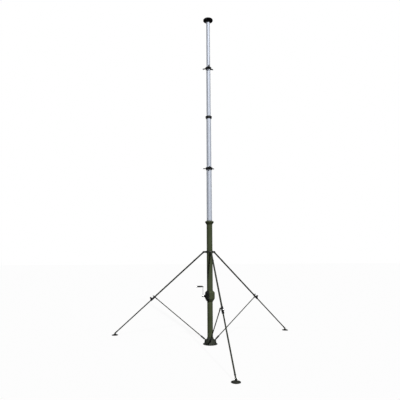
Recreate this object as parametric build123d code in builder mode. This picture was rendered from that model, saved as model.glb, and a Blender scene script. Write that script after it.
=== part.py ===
# Crank-up telescopic radio mast on a braced three-legged stand.
# Millimetres, +Z up. The origin is on the mast's axis, at the underside of the base plate.
# The front leg points along -Y and the crank along -X.
import os
from math import atan2, cos, degrees, hypot, radians, sin

from build123d import *

os.makedirs("parts", exist_ok=True)

# Mast tubes and how they nest
base_tube_top = 2330.0
base_tube_od = 114.0
base_tube_wall = 3.0
pedestal_od = 106.0
pedestal_wall = 3.0
section_1_od = 104.0
section_od_step = 9.0
section_wall = 2.5
section_count = 4
section_length = 1260.0
section_overlap = 170.0
slide_clearance = 0.3
guide_ring_height = 40.0

# Collars at the top of each section
collar_height = 50.0
collar_lip = 10.0
collar_wall = 14.0
collar_edge = 3.0
collar_groove_width = 5.0
collar_groove_depth = 2.0

# Guy plates
guy_plate_thickness = 6.0
guy_plate_drop = 16.0
guy_ear_reach = 112.0
guy_ear_radius = 17.0
guy_hole_diameter = 14.0
guy_plate_rim = 8.0

# Flared collar at the top of the base tube
flare_height = 92.0
flare_radius = 86.0
flare_rim_height = 8.0
flare_rim_drop = 34.0
flare_top_radius = 61.0

# Head plate
head_plate_diameter = 208.0
head_plate_thickness = 10.0
head_hub_diameter = 96.0
head_hub_height = 42.0
head_bolt_circle = 160.0
head_bolt_hole = 11.0
head_bolt_count = 4

# Base plate and the boot that stands on it
base_plate_diameter = 276.0
base_plate_thickness = 8.0
base_plate_edge = 3.0
boot_foot_radius = 88.0
boot_middle_radius = 77.0
boot_middle_height = 62.0
boot_top = 122.0
boot_lip = 5.0
boot_floor = 12.0

# Gearbox
gearbox_middle = 882.0
gearbox_height = 194.0
gearbox_radius = 93.5
gearbox_wall = 8.0
gearbox_shoulder = 30.0
gearbox_bowl = 50.0
gearbox_neck_wall = 9.0
gearbox_split = -32.0
tube_seat_depth = 40.0
shaft_boss_radius = 18.0
shaft_boss_length = 26.0

# Crank
shaft_diameter = 20.0
shaft_clearance = 0.05
shaft_inner_reach = 74.0
crank_arm_length = 180.0
crank_arm_thickness = 8.0
crank_arm_end_width = 22.0
crank_hub_diameter = 34.0
crank_hub_length = 18.0
crank_hub_gap = 6.0
shaft_nut_length = 12.0
shaft_nut_radius = 13.0
grip_diameter = 30.0
grip_swell = 3.0
grip_length = 118.0
grip_pin_diameter = 10.0
grip_end_gap = 0.5
grip_cap_thickness = 5.0
grip_cap_radius = 11.0

# Stand: the legs' pivots, feet and braces
leg_azimuths = {"front": -90.0, "right": 30.0, "left": 150.0}
ear_radius = 120.0
ear_height = 1722.0
foot_radius = 2155.0
foot_pivot_height = 40.0
brace_station = 1428.0
brace_foot_radius = 103.0
brace_foot_height = 67.0
leg_side = 12.0
brace_side = -18.0

# Tripod collar
tripod_collar_height = 46.0
tripod_collar_wall = 6.0
tripod_collar_edge = 2.0
ear_root_height = 40.0
ear_end_radius = 17.0
ear_cheek_thickness = 7.0
ear_slot_depth = 24.0
leg_pin_diameter = 12.0
pin_clearance = 0.05
cheek_clearance = 0.5
pin_head = 4.0

# Legs
leg_tube_od = 30.0
leg_tube_wall = 2.0
leg_tube_start = 26.0
leg_tube_end = 1500.0
leg_knuckle_width = 28.0
leg_plug_length = 34.0
lower_tube_od = 24.0
lower_tube_wall = 2.0
lower_tube_overlap = 160.0
foot_eye_length = 54.0
foot_eye_width = 16.0
foot_pin_diameter = 10.0

# Leg clamp and its knob
clamp_start_drop = 34.0
clamp_length = 60.0
clamp_wall = 5.0
clamp_bore_clearance = 0.3
clamp_ear_height = 27.0
clamp_ear_width = 22.0
clamp_ear_length = 34.0
clamp_slit = 3.0
knob_radius = 18.0
knob_height = 22.0
knob_lobe_radius = 5.5
knob_lobe_count = 5
knob_stud_diameter = 8.0
knob_stud_height = 6.0

# Brace and its slider on the leg
slider_length = 60.0
slider_clearance = 0.4
slider_wall = 4.6
slider_boss_radius = 13.0
slider_boss_height = 0.8
open_pivot_gap = 0.6
brace_od = 18.0
brace_wall = 2.0
brace_eye_length = 34.0
brace_eye_radius = 12.0
brace_eye_width = 16.0
brace_sleeve_start = 26.0
brace_sleeve_length = 82.0
brace_sleeve_radius = 13.0
brace_pin_diameter = 8.0
brace_bolt_radius = 8.0
brace_bolt_height = 5.0
brace_lug_thickness = 6.0
brace_lug_radius = 12.0
brace_lug_spread = 8.0
brace_lug_gap = 8.0

# Foot pads
pad_diameter = 132.0
pad_rim = 5.0
pad_brim = 12.0
pad_crown_radius = 24.0
pad_crown_height = 22.0
pad_dome_height = 15.0
pad_dome_radius = 42.0
pad_cheek_thickness = 6.0
pad_cheek_radius = 11.0
pad_slot_floor = 19.0

# Worked-out sizes
pitch = section_length - section_overlap
base_tube_bore = base_tube_od - 2 * base_tube_wall
leg_angle = degrees(atan2(foot_radius - ear_radius, ear_height - foot_pivot_height))
leg_length = hypot(foot_radius - ear_radius, ear_height - foot_pivot_height)
brace_top_radius = ear_radius + brace_station * sin(radians(leg_angle))
brace_top_height = ear_height - brace_station * cos(radians(leg_angle))
brace_length = hypot(brace_top_radius - brace_foot_radius, brace_top_height - brace_foot_height)
brace_angle = degrees(
    atan2(brace_top_radius - brace_foot_radius, brace_top_height - brace_foot_height)
)
gearbox_bottom = gearbox_middle - gearbox_height / 2
gearbox_top = gearbox_middle + gearbox_height / 2
base_tube_bottom = gearbox_top - tube_seat_depth
pedestal_top = gearbox_bottom + tube_seat_depth
slider_outer_radius = leg_tube_od / 2 + slider_clearance + slider_wall
boss_face = slider_outer_radius + slider_boss_height
brace_offset = leg_side - brace_side


def section_od(number):
    return section_1_od - (number - 1) * section_od_step


def section_top(number):
    return base_tube_top + number * pitch


def radial(azimuth):
    return Vector(cos(radians(azimuth)), sin(radians(azimuth)), 0)


def tangent(azimuth):
    return Vector(-sin(radians(azimuth)), cos(radians(azimuth)), 0)


def upright_plane(azimuth, radius, height, side=0.0):
    # X runs outwards, Y up, and the normal along the pivot pins
    origin = radial(azimuth) * radius + tangent(azimuth) * side + Vector(0, 0, height)
    return Plane(origin=origin, x_dir=radial(azimuth), z_dir=-tangent(azimuth))


def along_plane(azimuth, radius, height, angle, side=0.0):
    # Z runs along a bar that leaves its pivot at an angle from straight down,
    # X is square to the bar on its outer side
    down = radial(azimuth) * sin(radians(angle)) - Vector(0, 0, cos(radians(angle)))
    out = radial(azimuth) * cos(radians(angle)) + Vector(0, 0, sin(radians(angle)))
    origin = radial(azimuth) * radius + tangent(azimuth) * side + Vector(0, 0, height)
    return Plane(origin=origin, x_dir=out, z_dir=down)


def keep(part, name):
    part.label = name
    export_step(part, f"parts/{name}.step")


def turned(profile):
    # A ring or disc about the mast's axis from radius and height pairs
    with BuildPart() as ring:
        with BuildSketch(Plane.XZ):
            with BuildLine():
                Polyline(*profile, close=True)
            make_face()
        revolve(axis=Axis.Z)
    return ring.part


# Base plate
base_plate = turned(
    [
        (0, 0),
        (base_plate_diameter / 2, 0),
        (base_plate_diameter / 2, base_plate_thickness - base_plate_edge),
        (base_plate_diameter / 2 - base_plate_edge, base_plate_thickness),
        (0, base_plate_thickness),
    ]
)
keep(base_plate, "base_plate")

# Boot: a bulging socket for the lower tube, with a pair of lugs for each brace
boot_bore = pedestal_od / 2
boot_seat = base_plate_thickness + boot_floor
slot_half = brace_eye_width / 2 + cheek_clearance
lug_half = slot_half + brace_lug_thickness
with BuildPart() as boot:
    with BuildSketch(Plane.XZ):
        with BuildLine():
            ThreePointArc(
                (boot_foot_radius, base_plate_thickness),
                (boot_middle_radius, boot_middle_height),
                (boot_bore + boot_lip, boot_top),
            )
            Polyline(
                (boot_bore + boot_lip, boot_top),
                (boot_bore, boot_top),
                (boot_bore, boot_seat),
                (0, boot_seat),
                (0, base_plate_thickness),
                (boot_foot_radius, base_plate_thickness),
            )
        make_face()
    revolve(axis=Axis.Z)
    for azimuth in leg_azimuths.values():
        lug_plane = upright_plane(azimuth, brace_foot_radius, brace_foot_height, brace_side)
        lug_foot = base_plate_thickness - brace_foot_height
        with BuildSketch(lug_plane):
            Circle(brace_lug_radius)
            with BuildLine():
                Polyline(
                    (brace_lug_radius, 0),
                    (brace_lug_radius + brace_lug_spread, lug_foot),
                    (boot_bore + boot_lip - brace_foot_radius, lug_foot),
                    (boot_bore + boot_lip - brace_foot_radius, brace_lug_radius),
                    (0, brace_lug_radius),
                    close=True,
                )
            make_face()
        extrude(amount=lug_half, both=True)
        with BuildSketch(lug_plane):
            with Locations((brace_lug_radius, brace_lug_radius - brace_eye_radius)):
                Rectangle(
                    2 * (brace_lug_radius + brace_eye_radius + brace_lug_gap - brace_lug_radius / 2),
                    2 * (brace_eye_radius + brace_lug_gap),
                )
        extrude(amount=slot_half, both=True, mode=Mode.SUBTRACT)
        with BuildSketch(lug_plane):
            Circle(brace_pin_diameter / 2)
        extrude(amount=lug_half, both=True, mode=Mode.SUBTRACT)
    with BuildSketch(Plane.XY.offset(boot_seat)):
        Circle(boot_bore)
    extrude(amount=boot_top, mode=Mode.SUBTRACT)
keep(boot.part, "boot")

# Pins of the braces' lower pivots
with BuildPart() as brace_pins:
    for azimuth in leg_azimuths.values():
        with BuildSketch(upright_plane(azimuth, brace_foot_radius, brace_foot_height, brace_side)):
            Circle(brace_pin_diameter / 2)
        extrude(amount=lug_half + pin_head, both=True)
keep(brace_pins.part, "brace_pins")

# Lower tube between the boot and the gearbox
with BuildPart() as pedestal_tube:
    with BuildSketch(Plane.XY.offset(boot_seat)):
        Circle(pedestal_od / 2)
        Circle(pedestal_od / 2 - pedestal_wall, mode=Mode.SUBTRACT)
    extrude(amount=pedestal_top - boot_seat)
keep(pedestal_tube.part, "pedestal_tube")

# Gearbox: a hollow casting, split beside the tubes into a housing and a crank-side cover
with BuildPart() as gearbox:
    with BuildSketch(Plane.XZ):
        with BuildLine():
            Polyline(
                (pedestal_od / 2, gearbox_bottom),
                (pedestal_od / 2 + gearbox_neck_wall, gearbox_bottom),
                (gearbox_radius, gearbox_bottom + gearbox_bowl),
                (gearbox_radius, gearbox_top - gearbox_shoulder),
                (base_tube_od / 2 + gearbox_neck_wall, gearbox_top),
                (base_tube_od / 2, gearbox_top),
                (base_tube_od / 2, base_tube_bottom),
                (base_tube_bore / 2 - gearbox_wall, base_tube_bottom),
                (base_tube_bore / 2 - gearbox_wall, base_tube_bottom - gearbox_wall),
                (gearbox_radius - gearbox_wall, base_tube_bottom - gearbox_wall),
                (gearbox_radius - gearbox_wall, pedestal_top + gearbox_wall),
                (pedestal_od / 2 - gearbox_wall, pedestal_top + gearbox_wall),
                (pedestal_od / 2 - gearbox_wall, pedestal_top),
                (pedestal_od / 2, pedestal_top),
                close=True,
            )
        make_face()
    revolve(axis=Axis.Z)
    with BuildSketch(Plane.YZ.offset(-gearbox_radius - shaft_boss_length)):
        with Locations((0, gearbox_middle)):
            Circle(shaft_boss_radius)
    extrude(amount=shaft_boss_length + gearbox_wall)
    with BuildSketch(Plane.YZ.offset(-gearbox_radius - shaft_boss_length)):
        with Locations((0, gearbox_middle)):
            Circle(shaft_diameter / 2 + shaft_clearance)
    extrude(amount=shaft_boss_length + 2 * gearbox_wall, mode=Mode.SUBTRACT)

split_plane = Plane.YZ.offset(gearbox_split)
with BuildPart() as gearbox_housing:
    add(gearbox.part)
    split(bisect_by=split_plane, keep=Keep.TOP)
keep(gearbox_housing.part, "gearbox_housing")

with BuildPart() as gearbox_cover:
    add(gearbox.part)
    split(bisect_by=split_plane, keep=Keep.BOTTOM)
keep(gearbox_cover.part, "gearbox_cover")

# Base tube
with BuildPart() as base_tube:
    with BuildSketch(Plane.XY.offset(base_tube_bottom)):
        Circle(base_tube_od / 2)
        Circle(base_tube_bore / 2, mode=Mode.SUBTRACT)
    extrude(amount=base_tube_top - collar_lip - base_tube_bottom)
keep(base_tube.part, "base_tube")

# Flared collar that guides the first section
lip_radius = section_1_od / 2 + slide_clearance
rim_top = base_tube_top - flare_rim_drop
base_tube_collar = turned(
    [
        (base_tube_od / 2, base_tube_top - flare_height),
        (flare_radius, rim_top - flare_rim_height),
        (flare_radius, rim_top),
        (flare_top_radius, base_tube_top),
        (lip_radius, base_tube_top),
        (lip_radius, base_tube_top - collar_lip),
        (base_tube_od / 2, base_tube_top - collar_lip),
    ]
)
keep(base_tube_collar, "base_tube_collar")

# Tripod collar with an ear for each leg
knuckle_half = leg_knuckle_width / 2
ear_half = knuckle_half + cheek_clearance + ear_cheek_thickness
collar_radius = base_tube_od / 2 + tripod_collar_wall
with BuildPart() as tripod_collar:
    with BuildSketch(Plane.XY.offset(ear_height - tripod_collar_height / 2)):
        Circle(collar_radius)
    extrude(amount=tripod_collar_height)
    chamfer(tripod_collar.edges().filter_by(GeomType.CIRCLE), tripod_collar_edge)
    for azimuth in leg_azimuths.values():
        ear_plane = upright_plane(azimuth, ear_radius, ear_height, leg_side)
        with BuildSketch(ear_plane):
            Circle(ear_end_radius)
            with BuildLine():
                Polyline(
                    (0, ear_end_radius),
                    (base_tube_od / 2 - ear_radius, ear_root_height / 2),
                    (base_tube_od / 2 - ear_radius, -ear_root_height / 2),
                    (0, -ear_end_radius),
                    close=True,
                )
            make_face()
        extrude(amount=ear_half, both=True)
        with BuildSketch(ear_plane):
            with Locations((ear_end_radius - ear_slot_depth / 2, 0)):
                Rectangle(2 * ear_end_radius + ear_slot_depth, 4 * ear_end_radius)
        extrude(amount=knuckle_half + cheek_clearance, both=True, mode=Mode.SUBTRACT)
        with BuildSketch(ear_plane):
            Circle(leg_pin_diameter / 2)
        extrude(amount=ear_half, both=True, mode=Mode.SUBTRACT)
    with BuildSketch(Plane.XY.offset(ear_height - tripod_collar_height)):
        Circle(base_tube_od / 2)
    extrude(amount=2 * tripod_collar_height, mode=Mode.SUBTRACT)
keep(tripod_collar.part, "tripod_collar")

# Pins of the legs' upper pivots
with BuildPart() as leg_pins:
    for azimuth in leg_azimuths.values():
        with BuildSketch(upright_plane(azimuth, ear_radius, ear_height, leg_side)):
            Circle(leg_pin_diameter / 2)
        extrude(amount=ear_half + pin_head, both=True)
keep(leg_pins.part, "leg_pins")

# Mast sections: each tube has a guide ring at its foot
for number in range(1, section_count + 1):
    outer = section_od(number) / 2
    foot = section_top(number) - section_length
    carrier_bore = outer + (section_od_step / 2 - section_wall)
    with BuildPart() as section_tube:
        with BuildSketch(Plane.XY.offset(foot)):
            Circle(outer)
        extrude(amount=section_length - collar_lip)
        with BuildSketch(Plane.XY.offset(foot)):
            Circle(carrier_bore - slide_clearance)
        extrude(amount=guide_ring_height)
        with BuildSketch(Plane.XY.offset(foot)):
            Circle(outer - section_wall)
        extrude(amount=section_length, mode=Mode.SUBTRACT)
    keep(section_tube.part, f"section_{number}_tube")

# Collars that guide the next section up
for number in range(1, section_count):
    outer = section_od(number) / 2
    bore = section_od(number + 1) / 2 + slide_clearance
    top = section_top(number)
    groove = top - 0.7 * collar_height
    collar = turned(
        [
            (outer, top - collar_height),
            (outer + collar_wall - collar_edge, top - collar_height),
            (outer + collar_wall, top - collar_height + collar_edge),
            (outer + collar_wall, groove - collar_groove_width / 2),
            (outer + collar_wall - collar_groove_depth, groove),
            (outer + collar_wall, groove + collar_groove_width / 2),
            (outer + collar_wall, top - collar_edge),
            (outer + collar_wall - collar_edge, top),
            (bore, top),
            (bore, top - collar_lip),
            (outer, top - collar_lip),
        ]
    )
    keep(collar, f"section_{number}_collar")

# Guy plates with three ears, in line with the legs
for number in (1, 3):
    seat = section_od(number) / 2 + collar_wall
    with BuildPart() as guy_plate:
        with BuildSketch(Plane.XY.offset(section_top(number) - guy_plate_drop)):
            Circle(seat + guy_plate_rim)
            for azimuth in leg_azimuths.values():
                tip = radial(azimuth) * guy_ear_reach
                with Locations((tip.X, tip.Y)):
                    Circle(guy_ear_radius)
                with Locations(Location((tip.X / 2, tip.Y / 2, 0), (0, 0, azimuth))):
                    Rectangle(guy_ear_reach, 2 * guy_ear_radius)
            for azimuth in leg_azimuths.values():
                tip = radial(azimuth) * guy_ear_reach
                with Locations((tip.X, tip.Y)):
                    Circle(guy_hole_diameter / 2, mode=Mode.SUBTRACT)
            Circle(seat, mode=Mode.SUBTRACT)
        extrude(amount=guy_plate_thickness)
    keep(guy_plate.part, f"section_{number}_guy_plate")

# Head plate on the last section
head_seat = section_od(section_count) / 2
head_level = section_top(section_count)
with BuildPart() as head_plate:
    with BuildSketch(Plane.XY.offset(head_level)):
        Circle(head_plate_diameter / 2)
        with PolarLocations(head_bolt_circle / 2, head_bolt_count, start_angle=45):
            Circle(head_bolt_hole / 2, mode=Mode.SUBTRACT)
    extrude(amount=head_plate_thickness)
    with BuildSketch(Plane.XY.offset(head_level - head_hub_height)):
        Circle(head_hub_diameter / 2)
        Circle(head_seat, mode=Mode.SUBTRACT)
    extrude(amount=head_hub_height - collar_lip)
    with BuildSketch(Plane.XY.offset(head_level - collar_lip)):
        Circle(head_hub_diameter / 2)
    extrude(amount=collar_lip)
keep(head_plate.part, "head_plate")

# Crank shaft in the cover's boss
hub_inner_face = -gearbox_radius - shaft_boss_length - crank_hub_gap
hub_outer_face = hub_inner_face - crank_hub_length
with BuildPart() as crank_shaft:
    with BuildSketch(Plane.YZ.offset(-shaft_inner_reach)):
        with Locations((0, gearbox_middle)):
            Circle(shaft_diameter / 2)
    extrude(amount=hub_outer_face + shaft_inner_reach)
    with BuildSketch(Plane.YZ.offset(hub_outer_face)):
        with Locations((0, gearbox_middle)):
            RegularPolygon(shaft_nut_radius, 6)
    extrude(amount=-shaft_nut_length)
keep(crank_shaft.part, "crank_shaft")

# Crank arm with the grip's pin
arm_middle = (hub_inner_face + hub_outer_face) / 2
arm_outer_face = arm_middle - crank_arm_thickness / 2
grip_height = gearbox_middle + crank_arm_length
grip_pin_length = grip_length + 2 * grip_end_gap
with BuildPart() as crank_arm:
    with BuildSketch(Plane.YZ.offset(arm_outer_face)):
        with Locations((0, gearbox_middle)):
            Circle(crank_hub_diameter / 2)
        with Locations((0, grip_height)):
            Circle(crank_arm_end_width / 2)
        make_hull()
    extrude(amount=crank_arm_thickness)
    with BuildSketch(Plane.YZ.offset(hub_outer_face)):
        with Locations((0, gearbox_middle)):
            Circle(crank_hub_diameter / 2)
    extrude(amount=crank_hub_length)
    with BuildSketch(Plane.YZ.offset(hub_outer_face)):
        with Locations((0, gearbox_middle)):
            Circle(shaft_diameter / 2)
    extrude(amount=crank_hub_length, mode=Mode.SUBTRACT)
    with BuildSketch(Plane.YZ.offset(arm_outer_face)):
        with Locations((0, grip_height)):
            Circle(grip_pin_diameter / 2)
    extrude(amount=-grip_pin_length)
    with BuildSketch(Plane.YZ.offset(arm_outer_face - grip_pin_length)):
        with Locations((0, grip_height)):
            Circle(grip_cap_radius)
    extrude(amount=-grip_cap_thickness)
keep(crank_arm.part, "crank_arm")

# Turning grip: a barrel that swells towards its middle
grip_start = arm_outer_face - grip_end_gap
grip_axis = Axis((0, 0, grip_height), (1, 0, 0))
grip_bore = grip_pin_diameter / 2 + shaft_clearance
with BuildPart() as crank_grip:
    with BuildSketch(Plane.XZ):
        with BuildLine():
            Polyline(
                (grip_start, grip_height + grip_diameter / 2 - grip_swell),
                (grip_start, grip_height + grip_bore),
                (grip_start - grip_length, grip_height + grip_bore),
                (grip_start - grip_length, grip_height + grip_diameter / 2 - grip_swell),
            )
            ThreePointArc(
                (grip_start - grip_length, grip_height + grip_diameter / 2 - grip_swell),
                (grip_start - grip_length / 2, grip_height + grip_diameter / 2),
                (grip_start, grip_height + grip_diameter / 2 - grip_swell),
            )
        make_face()
    revolve(axis=grip_axis)
keep(crank_grip.part, "crank_grip")

# Legs
clamp_start = leg_tube_end - clamp_start_drop
clamp_radius = leg_tube_od / 2 + clamp_wall
for side, azimuth in leg_azimuths.items():
    leg = along_plane(azimuth, ear_radius, ear_height, leg_angle, leg_side)
    pivot = upright_plane(azimuth, ear_radius, ear_height, leg_side)

    # Upper tube with the knuckle welded into it
    with BuildPart() as leg_upper:
        with BuildSketch(leg.offset(leg_tube_start)):
            Circle(leg_tube_od / 2)
        extrude(amount=leg_tube_end - leg_tube_start)
        with BuildSketch(leg.offset(leg_tube_start + leg_plug_length)):
            Circle(leg_tube_od / 2 - leg_tube_wall)
        extrude(amount=leg_tube_end - leg_tube_start, mode=Mode.SUBTRACT)
        with BuildSketch(pivot):
            Circle(leg_knuckle_width / 2)
        extrude(amount=leg_knuckle_width / 2, both=True)
        with BuildSketch(leg):
            Rectangle(leg_knuckle_width, leg_knuckle_width)
        extrude(amount=leg_tube_start)
        with BuildSketch(pivot):
            Circle(leg_pin_diameter / 2 + pin_clearance)
        extrude(amount=leg_knuckle_width, both=True, mode=Mode.SUBTRACT)
    keep(leg_upper.part, f"leg_{side}_upper")

    # Split clamp at the upper tube's end
    with BuildPart() as leg_clamp:
        with BuildSketch(leg.offset(clamp_start)):
            Circle(clamp_radius)
        extrude(amount=clamp_length)
        with BuildSketch(leg.offset(leg_tube_end - clamp_ear_length / 2)):
            with Locations((clamp_ear_height / 2, 0)):
                Rectangle(clamp_ear_height, clamp_ear_width)
        extrude(amount=clamp_ear_length)
        with BuildSketch(leg.offset(clamp_start)):
            Circle(leg_tube_od / 2)
        extrude(amount=clamp_start_drop, mode=Mode.SUBTRACT)
        with BuildSketch(leg.offset(leg_tube_end)):
            Circle(lower_tube_od / 2 + clamp_bore_clearance)
        extrude(amount=clamp_length, mode=Mode.SUBTRACT)
        with BuildSketch(leg.offset(leg_tube_end - clamp_ear_length)):
            with Locations((-clamp_ear_height / 2, 0)):
                Rectangle(clamp_ear_height, clamp_slit)
        extrude(amount=clamp_length, mode=Mode.SUBTRACT)
    keep(leg_clamp.part, f"leg_{side}_clamp")

    # Lobed knob that tightens the clamp
    knob_seat = leg.offset(leg_tube_end)
    knob_base = knob_seat.origin + knob_seat.x_dir * clamp_ear_height
    knob_plane = Plane(origin=knob_base, x_dir=leg.z_dir, z_dir=leg.x_dir)
    with BuildPart() as leg_knob:
        with BuildSketch(knob_plane):
            Circle(knob_stud_diameter / 2)
        extrude(amount=knob_stud_height)
        with BuildSketch(knob_plane.offset(knob_stud_height)):
            Circle(knob_radius - knob_lobe_radius)
            with PolarLocations(knob_radius - knob_lobe_radius, knob_lobe_count):
                Circle(knob_lobe_radius)
        extrude(amount=knob_height)
    keep(leg_knob.part, f"leg_{side}_knob")

    # Lower tube with the foot's eye
    foot_pivot = upright_plane(azimuth, foot_radius, foot_pivot_height, leg_side)
    eye_start = leg_length - foot_eye_length
    with BuildPart() as leg_lower:
        with BuildSketch(leg.offset(leg_tube_end - lower_tube_overlap)):
            Circle(lower_tube_od / 2)
        extrude(amount=eye_start - leg_tube_end + lower_tube_overlap)
        with BuildSketch(leg.offset(leg_tube_end - lower_tube_overlap)):
            Circle(lower_tube_od / 2 - lower_tube_wall)
        extrude(amount=eye_start - leg_tube_end, mode=Mode.SUBTRACT)
        with BuildSketch(leg.offset(eye_start)):
            Rectangle(lower_tube_od, foot_eye_width)
        extrude(amount=foot_eye_length)
        with BuildSketch(foot_pivot):
            Circle(lower_tube_od / 2)
        extrude(amount=foot_eye_width / 2, both=True)
        with BuildSketch(foot_pivot):
            Circle(foot_pin_diameter / 2 + pin_clearance)
        extrude(amount=foot_eye_width, both=True, mode=Mode.SUBTRACT)
    keep(leg_lower.part, f"leg_{side}_lower")

    # Foot pad with its cheeks and pin
    cheek_inner = foot_eye_width / 2 + cheek_clearance
    pad_middle = radial(azimuth) * foot_radius + tangent(azimuth) * leg_side
    pad_profile = Plane(origin=pad_middle, x_dir=radial(azimuth), z_dir=-tangent(azimuth))
    with BuildPart() as foot_pad:
        with BuildSketch(pad_profile):
            with BuildLine():
                Polyline(
                    (pad_crown_radius, pad_crown_height),
                    (0, pad_crown_height),
                    (0, 0),
                    (pad_diameter / 2, 0),
                    (pad_diameter / 2, pad_rim),
                    (pad_diameter / 2 - pad_brim, pad_rim),
                )
                ThreePointArc(
                    (pad_diameter / 2 - pad_brim, pad_rim),
                    (pad_dome_radius, pad_dome_height),
                    (pad_crown_radius, pad_crown_height),
                )
            make_face()
        revolve(axis=Axis(pad_middle, (0, 0, 1)))
        with BuildSketch(foot_pivot):
            Circle(pad_cheek_radius)
            with Locations((0, -foot_pivot_height / 2 + pad_crown_height / 4)):
                Rectangle(2 * pad_cheek_radius, foot_pivot_height - pad_crown_height / 2)
        extrude(amount=cheek_inner + pad_cheek_thickness, both=True)
        with BuildSketch(foot_pivot):
            with Locations((0, pad_slot_floor - foot_pivot_height)):
                Rectangle(pad_diameter, foot_pivot_height, align=(Align.CENTER, Align.MIN))
        extrude(amount=cheek_inner, both=True, mode=Mode.SUBTRACT)
        with BuildSketch(foot_pivot):
            Circle(foot_pin_diameter / 2)
        extrude(amount=cheek_inner + pad_cheek_thickness + pin_head / 2, both=True)
    keep(foot_pad.part, f"leg_{side}_foot")

    # Slider of the brace on the upper tube
    slider_start = brace_station - slider_length / 2
    boss = upright_plane(azimuth, brace_top_radius, brace_top_height, leg_side)
    with BuildPart() as slider:
        with BuildSketch(leg.offset(slider_start)):
            Circle(slider_outer_radius)
        extrude(amount=slider_length)
        with BuildSketch(boss):
            Circle(slider_boss_radius)
        extrude(amount=boss_face)
        with BuildSketch(leg.offset(slider_start)):
            Circle(leg_tube_od / 2 + slider_clearance)
        extrude(amount=slider_length, mode=Mode.SUBTRACT)
    keep(slider.part, f"leg_{side}_slider")

    # Brace from the boot's lug to the slider, with the sleeve of its lower catch
    brace = along_plane(azimuth, brace_top_radius, brace_top_height, -brace_angle, brace_side)
    brace_top = upright_plane(azimuth, brace_top_radius, brace_top_height, brace_side)
    brace_foot = upright_plane(azimuth, brace_foot_radius, brace_foot_height, brace_side)
    sleeve_start = brace_length - brace_sleeve_start - brace_sleeve_length
    with BuildPart() as brace_tube:
        with BuildSketch(brace):
            Circle(brace_od / 2)
        extrude(amount=brace_length)
        with BuildSketch(brace.offset(brace_eye_length)):
            Circle(brace_od / 2 - brace_wall)
        extrude(amount=brace_length - 2 * brace_eye_length, mode=Mode.SUBTRACT)
        with BuildSketch(brace.offset(sleeve_start)):
            Circle(brace_sleeve_radius)
            Circle(brace_od / 2 - brace_wall / 2, mode=Mode.SUBTRACT)
        extrude(amount=brace_sleeve_length)
        for end in (brace_top, brace_foot):
            with BuildSketch(end):
                Circle(brace_eye_radius)
            extrude(amount=brace_eye_width / 2, both=True)
            with BuildSketch(end.offset(brace_eye_width / 2)):
                Circle(1.5 * brace_eye_radius)
            extrude(amount=brace_eye_width, mode=Mode.SUBTRACT)
            with BuildSketch(end.offset(-brace_eye_width / 2)):
                Circle(1.5 * brace_eye_radius)
            extrude(amount=-brace_eye_width, mode=Mode.SUBTRACT)
        with BuildSketch(brace_top):
            Circle(brace_eye_radius)
        extrude(amount=-(brace_offset - boss_face - open_pivot_gap))
        with BuildSketch(brace_top):
            RegularPolygon(brace_bolt_radius, 6)
        extrude(amount=brace_eye_width / 2 + brace_bolt_height)
        with BuildSketch(brace_foot):
            Circle(brace_pin_diameter / 2 + pin_clearance)
        extrude(amount=brace_eye_width, both=True, mode=Mode.SUBTRACT)
    keep(brace_tube.part, f"leg_{side}_brace")
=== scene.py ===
from math import atan2, cos, hypot, radians, sin

import bpy
from mathutils import Matrix, Vector


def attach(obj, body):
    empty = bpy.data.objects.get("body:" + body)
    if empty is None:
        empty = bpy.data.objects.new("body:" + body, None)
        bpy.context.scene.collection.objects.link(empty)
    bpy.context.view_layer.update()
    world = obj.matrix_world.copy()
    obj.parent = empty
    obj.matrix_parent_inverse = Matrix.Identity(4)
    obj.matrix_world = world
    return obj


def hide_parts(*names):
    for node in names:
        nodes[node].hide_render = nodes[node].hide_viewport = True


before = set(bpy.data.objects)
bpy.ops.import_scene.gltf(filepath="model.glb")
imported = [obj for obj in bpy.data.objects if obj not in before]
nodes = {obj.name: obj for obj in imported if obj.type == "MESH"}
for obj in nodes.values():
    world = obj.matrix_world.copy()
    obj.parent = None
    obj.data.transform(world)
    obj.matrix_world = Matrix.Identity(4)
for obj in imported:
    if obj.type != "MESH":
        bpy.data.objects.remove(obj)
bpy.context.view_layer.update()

# Crank-up telescopic mast on a braced three-legged stand, in metres
up = Vector((0, 0, 1))
bpy.ops.object.select_all(action="DESELECT")


# Helpers that shape, seat and hand over a piece

def finishMesh(piece, smoothAngle=35):
    bpy.ops.object.select_all(action="DESELECT")
    bpy.context.view_layer.objects.active = piece
    piece.select_set(True)
    bpy.ops.object.mode_set(mode="EDIT")
    bpy.ops.mesh.select_mode(type="VERT")
    bpy.ops.mesh.select_all(action="SELECT")
    bpy.ops.mesh.remove_doubles(threshold=0.00001)
    bpy.ops.mesh.normals_make_consistent(inside=False)
    bpy.ops.object.mode_set(mode="OBJECT")
    bpy.ops.object.shade_smooth_by_angle(angle=radians(smoothAngle))
    return piece


def turnRing(profile, segments):
    # a ring or cap turned about Z, from radius and height pairs; a closed loop repeats its first pair
    bpy.ops.object.select_all(action="DESELECT")
    firstRadius, firstHeight = profile[0]
    bpy.ops.mesh.primitive_circle_add(vertices=segments, radius=firstRadius, location=(0, 0, firstHeight))
    bpy.ops.object.transform_apply(location=True, rotation=True, scale=True)
    bpy.ops.object.mode_set(mode="EDIT")
    bpy.ops.mesh.select_mode(type="VERT")
    bpy.ops.mesh.select_all(action="SELECT")
    for (oldRadius, oldHeight), (radius, height) in zip(profile, profile[1:]):
        bpy.ops.mesh.extrude_region_move(TRANSFORM_OT_translate={"value": (0, 0, height - oldHeight)})
        factor = radius / oldRadius
        bpy.ops.transform.resize(value=(factor, factor, 1), center_override=(0, 0, height))
    bpy.ops.object.mode_set(mode="OBJECT")
    return bpy.context.object


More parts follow.
